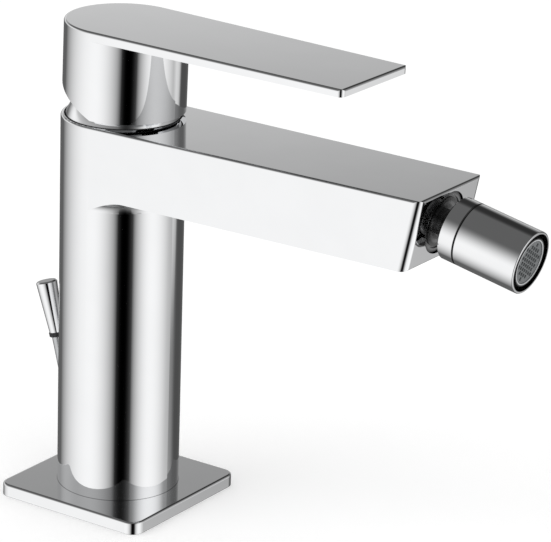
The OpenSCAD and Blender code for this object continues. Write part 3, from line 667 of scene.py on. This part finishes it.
def panel(maths, azimuth, elevation, centre, before, after, low, high, soft_end=False):
    """Brightness of a white panel that is lit from its middle.

    Across, it is 1 less the square of the turn from its centre over its half-width, before
    on one side and after on the other. A soft end squares that on the after side. Upwards,
    it fades out from low to high, and downwards it fades towards the point straight below.
    """
    turn = maths.turned_by(azimuth, centre)
    share = maths.do("MAXIMUM", maths.do("DIVIDE", turn, after), maths.do("DIVIDE", turn, -before))
    across = maths.do("MAXIMUM", maths.do("SUBTRACT", 1.0, maths.times(share, share)), 0.0)
    if soft_end:
        past = maths.do("MAXIMUM", maths.do("DIVIDE", turn, after), 0.0)
        end = maths.do("MAXIMUM", maths.do("SUBTRACT", 1.0, maths.times(past, past)), 0.0)
        across = maths.times(across, end)
    return maths.times(across, maths.fall(elevation, low, high), maths.rise(elevation, *PANEL_FOOT))


def patch(maths, azimuth, elevation, centre, half_width, middle, half_height):
    """Soft oval patch: 1 at its centre and 0 beyond its half-width and half-height."""
    x = maths.do("DIVIDE", maths.turned_by(azimuth, centre), half_width)
    y = maths.do("DIVIDE", maths.do("SUBTRACT", elevation, middle), half_height)
    return maths.fall(maths.add(maths.times(x, x), maths.times(y, y)), 0.0, 1.0)


def reflected_studio(maths, direction, studio):
    """What the chrome sees in each direction, as a brightness. Angles are in degrees.

    Azimuth runs from +X towards +Y. Two white panels stand left and right of the camera
    with a dark gap between them, a pale backdrop stands far behind on the left, and the
    rest is a dim room with a dark flag over the back and a darker corner on the right.
    Small cards brighten the end face, the nozzle and the lower edges.
    """
    parts = maths.tree.nodes.new("ShaderNodeSeparateXYZ")
    maths.tree.links.new(direction, parts.inputs["Vector"])
    azimuth = maths.do("DEGREES", maths.do("ARCTAN2", parts.outputs["Y"], parts.outputs["X"]))
    elevation = maths.do("DEGREES", maths.do("ARCSINE", parts.outputs["Z"]))
    view = (maths, azimuth, elevation)
    left = panel(*view, centre=-110.0, before=85.0, after=50.0, low=-12.0, high=47.0)
    right = panel(*view, centre=5.0, before=38.0, after=72.0, low=-5.0, high=48.0, soft_end=True)
    strip = patch(*view, centre=10.0, half_width=40.0, middle=27.0, half_height=9.0)
    floor_card = patch(*view, centre=60.0, half_width=50.0, middle=-36.0, half_height=15.0)
    side_card = patch(*view, centre=59.0, half_width=14.0, middle=-15.5, half_height=5.5)
    gap = patch(*view, centre=-48.0, half_width=22.0, middle=-10.0, half_height=75.0)
    corner = patch(*view, centre=84.0, half_width=28.0, middle=-19.0, half_height=30.0)
    # The backdrop is bright up to 13.5 degrees, less than half as bright by 19, and gone at 31
    back_turn = maths.turned_by(azimuth, 180.0)
    backdrop = maths.times(
        maths.rise(back_turn, -95.0, -50.0), maths.fall(back_turn, 0.0, 50.0),
        maths.rise(elevation, -5.0, 12.0),
        maths.add(
            maths.times(BACKDROP_LOW, maths.fall(elevation, 13.5, 19.0)),
            maths.times(BACKDROP_HIGH, maths.fall(elevation, 20.0, 31.0)),
        ),
    )
    horizon = patch(*view, centre=112.0, half_width=45.0, middle=-6.0, half_height=9.0)
    flag = patch(*view, centre=105.0, half_width=60.0, middle=44.0, half_height=24.0)
    room = maths.times(
        studio.room_level, maths.do("SUBTRACT", 1.0, gap),
        maths.do("SUBTRACT", 1.0, maths.times(FLAG_SHARE, flag)),
        maths.do("SUBTRACT", 1.0, maths.times(CORNER_SHARE, corner)),
    )
    return maths.add(
        room,
        maths.times(studio.panel_level, maths.add(left, right)),
        maths.times(studio.backdrop_level, backdrop),
        maths.times(HORIZON_LEVEL, horizon),
        maths.times(STRIP_LEVEL, strip),
        maths.times(FLOOR_CARD_LEVEL, floor_card),
        maths.times(SIDE_CARD_LEVEL, side_card),
    )


def build_world(studio):
    """White for the camera, even soft light on the pieces, and the studio in the chrome."""
    world = bpy.data.worlds.new("studio_world")
    bpy.context.scene.world = world
    tree = new_tree(world)
    maths = NodeMaths(tree)
    place = tree.nodes.new("ShaderNodeTexCoord")
    path = tree.nodes.new("ShaderNodeLightPath")
    seen_by_metal = maths.do("MAXIMUM", path.outputs["Is Glossy Ray"], path.outputs["Is Transmission Ray"])
    level = maths.add(
        path.outputs["Is Camera Ray"],
        maths.times(path.outputs["Is Diffuse Ray"], studio.soft_level),
        maths.times(seen_by_metal, reflected_studio(maths, place.outputs["Generated"], studio)),
    )
    background = tree.nodes.new("ShaderNodeBackground")
    background.inputs["Color"].default_value = (1.0, 1.0, 1.0, 1.0)
    tree.links.new(level, background.inputs["Strength"])
    output = tree.nodes.new("ShaderNodeOutputWorld")
    tree.links.new(background.outputs["Background"], output.inputs["Surface"])


def table_material(studio):
    """Pale table that keeps the mixer's shadow. Metal sees the white panels through it."""
    material = bpy.data.materials.new("white_table")
    tree = new_tree(material)
    maths = NodeMaths(tree)
    path = tree.nodes.new("ShaderNodeLightPath")
    matt = tree.nodes.new("ShaderNodeBsdfDiffuse")
    matt.inputs["Color"].default_value = (*studio.table_colour, 1.0)
    glow = tree.nodes.new("ShaderNodeEmission")
    tree.links.new(maths.times(TABLE_GLOW, path.outputs["Is Camera Ray"]), glow.inputs["Strength"])
    both = tree.nodes.new("ShaderNodeAddShader")
    tree.links.new(matt.outputs["BSDF"], both.inputs[0])
    tree.links.new(glow.outputs["Emission"], both.inputs[1])
    clear = tree.nodes.new("ShaderNodeBsdfTransparent")
    mix = tree.nodes.new("ShaderNodeMixShader")
    seen_by_metal = maths.do("MAXIMUM", path.outputs["Is Glossy Ray"], path.outputs["Is Transmission Ray"])
    tree.links.new(seen_by_metal, mix.inputs["Fac"])
    tree.links.new(both.outputs["Shader"], mix.inputs[1])
    tree.links.new(clear.outputs["BSDF"], mix.inputs[2])
    output = tree.nodes.new("ShaderNodeOutputMaterial")
    tree.links.new(mix.outputs["Shader"], output.inputs["Surface"])
    return material


def build_table(studio):
    """Round table top: rings of points at radius r and turn t, at x = r cos t and y = r sin t."""
    rings, turns = 24, 96
    r = (np.arange(1, rings + 1) / rings)[:, None] ** 2 * studio.table_radius
    t = np.linspace(0, 2 * np.pi, turns, endpoint=False)[None, :]
    points = np.stack([r * np.cos(t), r * np.sin(t), 0 * r * t], axis=-1).reshape(-1, 3)
    points = np.vstack([points, np.zeros(3)])
    number = np.arange(rings * turns).reshape(rings, turns)
    inner, outer = number[:-1], number[1:]
    quads = np.stack([inner, outer, np.roll(outer, -1, axis=1), np.roll(inner, -1, axis=1)], axis=-1)
    middle = np.stack([number[0], np.roll(number[0], -1), np.full(turns, rings * turns)], axis=-1)
    mesh = bpy.data.meshes.new("table")
    mesh.from_pydata(points, [], quads.reshape(-1, 4).tolist() + middle.tolist())
    mesh.materials.append(table_material(studio))
    table = bpy.data.objects.new("table", mesh)
    bpy.context.scene.collection.objects.link(table)


def soft_lamp(name, place, target, side, power):
    """Large square lamp that faces the target and isn't itself seen in the chrome."""
    light = bpy.data.lights.new(name, "AREA")
    light.shape = "SQUARE"
    light.size = side
    light.energy = power
    lamp = bpy.data.objects.new(name, light)
    lamp.location = place
    lamp.rotation_euler = (Vector(target) - Vector(place)).to_track_quat("-Z", "Y").to_euler()
    lamp.visible_glossy = False
    lamp.visible_camera = False
    bpy.context.scene.collection.objects.link(lamp)


def build_camera(studio):
    """Camera that looks at the target from its azimuth, elevation and distance."""
    data = bpy.data.cameras.new("camera")
    data.sensor_fit = "HORIZONTAL"
    data.sensor_width = SENSOR_WIDTH_MM
    data.lens = studio.lens
    data.clip_start = 0.05
    data.clip_end = 50.0
    camera = bpy.data.objects.new("camera", data)
    back = Vector((
        math.sin(studio.azimuth) * math.cos(studio.elevation),
        -math.cos(studio.azimuth) * math.cos(studio.elevation),
        math.sin(studio.elevation),
    ))
    upright = back.to_track_quat("Z", "Y").to_matrix().to_4x4()
    place = Vector(studio.target) + studio.distance * back
    camera.matrix_world = Matrix.Translation(place) @ upright @ Matrix.Rotation(studio.roll, 4, "Z")
    bpy.context.scene.collection.objects.link(camera)
    bpy.context.scene.camera = camera


# One operator for each group of pieces, and one for the stage

class MIXER_OT_chrome_pieces(bpy.types.Operator):
    """Finish the body, plate, lever, cover, nozzle and knob in polished chrome"""
    bl_idname = "mixer.chrome_pieces"
    bl_label = "Finish the chrome pieces"

    def execute(self, context):
        finish = context.scene.mixer_finish
        give_finish("chrome", polished_chrome(finish))
        # The nozzle's chrome carries painted shade in its bore and in the joint of its shells
        nozzle_chrome = polished_chrome(finish, "nozzle_chrome", nozzle_shade)
        finish_node("nozzle_sleeve", nozzle_chrome)
        finish_node("swivel_collar", nozzle_chrome)
        # The ball nipple's dark finish is painted shade of its recess
        finish_node("ball_nipple", turned_metal_painted_shade(finish))
        return {"FINISHED"}


class MIXER_OT_steel_pieces(bpy.types.Operator):
    """Finish the pop-up rod, the lever's screw and the stem's pin in satin steel"""
    bl_idname = "mixer.steel_pieces"
    bl_label = "Finish the steel pieces"

    def execute(self, context):
        give_finish("steel", satin_steel(context.scene.mixer_finish))
        return {"FINISHED"}


class MIXER_OT_brass_pieces(bpy.types.Operator):
    """Finish the foot connector, the cartridge nut and the stem in machined brass"""
    bl_idname = "mixer.brass_pieces"
    bl_label = "Finish the brass pieces"

    def execute(self, context):
        give_finish("plain_brass", machined_brass(context.scene.mixer_finish))
        return {"FINISHED"}


class MIXER_OT_rubber_pieces(bpy.types.Operator):
    """Finish the gaskets, the seals and the rod's bush in black rubber"""
    bl_idname = "mixer.rubber_pieces"
    bl_label = "Finish the rubber pieces"

    def execute(self, context):
        give_finish("black_rubber", moulded_rubber(context.scene.mixer_finish))
        return {"FINISHED"}


class MIXER_OT_plastic_pieces(bpy.types.Operator):
    """Finish the cartridge's plastic pieces and the aerator's insert, ring and honeycomb"""
    bl_idname = "mixer.plastic_pieces"
    bl_label = "Finish the plastic pieces"

    def execute(self, context):
        finish = context.scene.mixer_finish
        housing = moulded_plastic("housing_plastic", finish.housing_colour, roughness=0.46, grain_mm=0.012)
        give_finish("white_plastic", housing)
        carrier = moulded_plastic("carrier_plastic", finish.carrier_colour, roughness=0.40, grain_mm=0.010)
        give_finish("blue_plastic", carrier)
        give_finish("pale_plastic", aerator_plastic_painted_shade(finish))
        screen = moulded_plastic("screen_plastic", finish.screen_colour, roughness=0.42, grain_mm=0.006)
        give_finish("grey_plastic", screen)
        return {"FINISHED"}


class MIXER_OT_ceramic_pieces(bpy.types.Operator):
    """Finish the two control discs in lapped ceramic"""
    bl_idname = "mixer.ceramic_pieces"
    bl_label = "Finish the ceramic discs"

    def execute(self, context):
        give_finish("ceramic", lapped_ceramic(context.scene.mixer_finish))
        return {"FINISHED"}


class MIXER_OT_aerator_sieve(bpy.types.Operator):
    """Weave the steel sieve that lies behind the aerator's honeycomb"""
    bl_idname = "mixer.aerator_sieve"
    bl_label = "Weave the aerator's sieve"

    def execute(self, context):
        sieve = context.scene.mixer_sieve
        origin, axis = nozzle_axis()
        across = np.array([0.0, 1.0, 0.0])
        beside = np.cross(axis, across)
        back, _front, radius = span_along("aerator_screen", origin, axis)
        centre = origin + axis * (back - sieve.gap - sieve.wire)
        grid = (radius - sieve.wire, sieve.pitch, sieve.wire / 2)
        first, sides, caps = wire_grid(centre, across, beside, axis, *grid, phase=0.5)
        second, more_sides, more_caps = wire_grid(centre, -beside, across, axis, *grid, phase=1.5)
        sides = np.vstack([sides, more_sides + len(first)])
        caps = np.vstack([caps, more_caps + len(first)])
        faces = sides.tolist() + caps.tolist()
        material = satin_steel(context.scene.mixer_finish)
        new_piece("aerator_sieve", np.vstack([first, second]), faces, "nozzle", material)
        return {"FINISHED"}


class MIXER_OT_shadow_rings(bpy.types.Operator):
    """Lay the thin black rings of painted shade in the joint of the dome cover and below the pop-up knob"""
    bl_idname = "mixer.thin_rings"
    bl_label = "Lay the thin black rings"

    def execute(self, context):
        rings = context.scene.mixer_rings
        material = moulded_rubber(context.scene.mixer_finish)
        section = np.linspace(0, 2 * np.pi, SECTION_POINTS, endpoint=False)

        up = np.array([0.0, 0.0, 1.0])
        body_top = span_along("body_casting", np.zeros(3), up)[1]
        cover_radius = span_along("dome_cover", np.zeros(3), up)[2]
        half = rings.cover_section / 2
        # Painted shade: a black ring laid in the shadow gap between the dome cover and the body
        points, faces = ring_surface(
            np.array([0.0, 0.0, body_top]), up,
            cover_radius + COVER_RING_SEAT + half * np.cos(section), half * np.sin(section),
            COVER_RING_TURNS,
        )
        new_piece("cover_shadow_ring", points, faces, "fixed", material)

        # Painted shade: a black ring laid in the shade under the pop-up knob's lower end
        rod = JOINTS["popup_lift"]
        origin, axis = np.array(rod["pos_m"], float), unit(rod["axis"])
        if axis[2] < 0:
            axis = -axis
        knob_low = span_along("popup_knob", origin, axis)[0]
        rod_radius = span_along("popup_rod", origin, axis)[2]
        wall, length = rings.knob_step, rings.knob_length
        # From inside the rod out under the knob, straight down, round the lower edge and back in
        radius = rod_radius + wall * np.array([-0.2, 1.0, 1.0, 0.9, 0.7, -0.2])
        height = knob_low - length * np.array([0.0, 0.0, 0.75, 0.92, 1.0, 1.0])
        points, faces = ring_surface(origin, axis, radius, height, KNOB_RING_TURNS)
        new_piece("knob_shadow_ring", points, faces, "popup", material)
        return {"FINISHED"}


class MIXER_OT_stage(bpy.types.Operator):
    """Set up the table, the light and the camera"""
    bl_idname = "mixer.stage"
    bl_label = "Set up the stage"

    def execute(self, context):
        studio = context.scene.mixer_studio
        build_world(studio)
        build_table(studio)
        for name, place, side, power in LAMPS:
            soft_lamp(name, place, studio.target, side, power)
        build_camera(studio)
        context.scene.view_settings.view_transform = "Standard"
        return {"FINISHED"}


class MIXER_PT_sidebar(bpy.types.Panel):
    """Lists the settings and the steps of the scene"""
    bl_idname = "MIXER_PT_sidebar"
    bl_label = "Bidet mixer"
    bl_space_type = "VIEW_3D"
    bl_region_type = "UI"
    bl_category = "Bidet mixer"

    def draw(self, context):
        scene = context.scene
        for settings in (getattr(scene, name) for name in SETTINGS):
            column = self.layout.column()
            for name in settings.__annotations__:
                column.prop(settings, name)
        for step in STEPS:
            self.layout.operator(step.bl_idname)


STEPS = (
    MIXER_OT_chrome_pieces,
    MIXER_OT_steel_pieces,
    MIXER_OT_brass_pieces,
    MIXER_OT_rubber_pieces,
    MIXER_OT_plastic_pieces,
    MIXER_OT_ceramic_pieces,
    MIXER_OT_aerator_sieve,
    MIXER_OT_shadow_rings,
    MIXER_OT_stage,
)
SETTINGS = {
    "mixer_finish": MixerFinish,
    "mixer_sieve": MixerSieve,
    "mixer_rings": MixerRings,
    "mixer_studio": MixerStudio,
}


def register():
    """Registers the settings, the steps and the panel."""
    for name, group in SETTINGS.items():
        bpy.utils.register_class(group)
        setattr(bpy.types.Scene, name, bpy.props.PointerProperty(type=group))
    for step in (*STEPS, MIXER_PT_sidebar):
        bpy.utils.register_class(step)


def unregister():
    """Takes back what register did."""
    for step in reversed((*STEPS, MIXER_PT_sidebar)):
        bpy.utils.unregister_class(step)
    for name, group in SETTINGS.items():
        delattr(bpy.types.Scene, name)
        bpy.utils.unregister_class(group)


def main():
    """Runs every step in order."""
    register()
    bpy.ops.mixer.chrome_pieces()
    bpy.ops.mixer.steel_pieces()
    bpy.ops.mixer.brass_pieces()
    bpy.ops.mixer.rubber_pieces()
    bpy.ops.mixer.plastic_pieces()
    bpy.ops.mixer.ceramic_pieces()
    bpy.ops.mixer.aerator_sieve()
    bpy.ops.mixer.thin_rings()
    bpy.ops.mixer.stage()


if __name__ == "__main__":
    main()
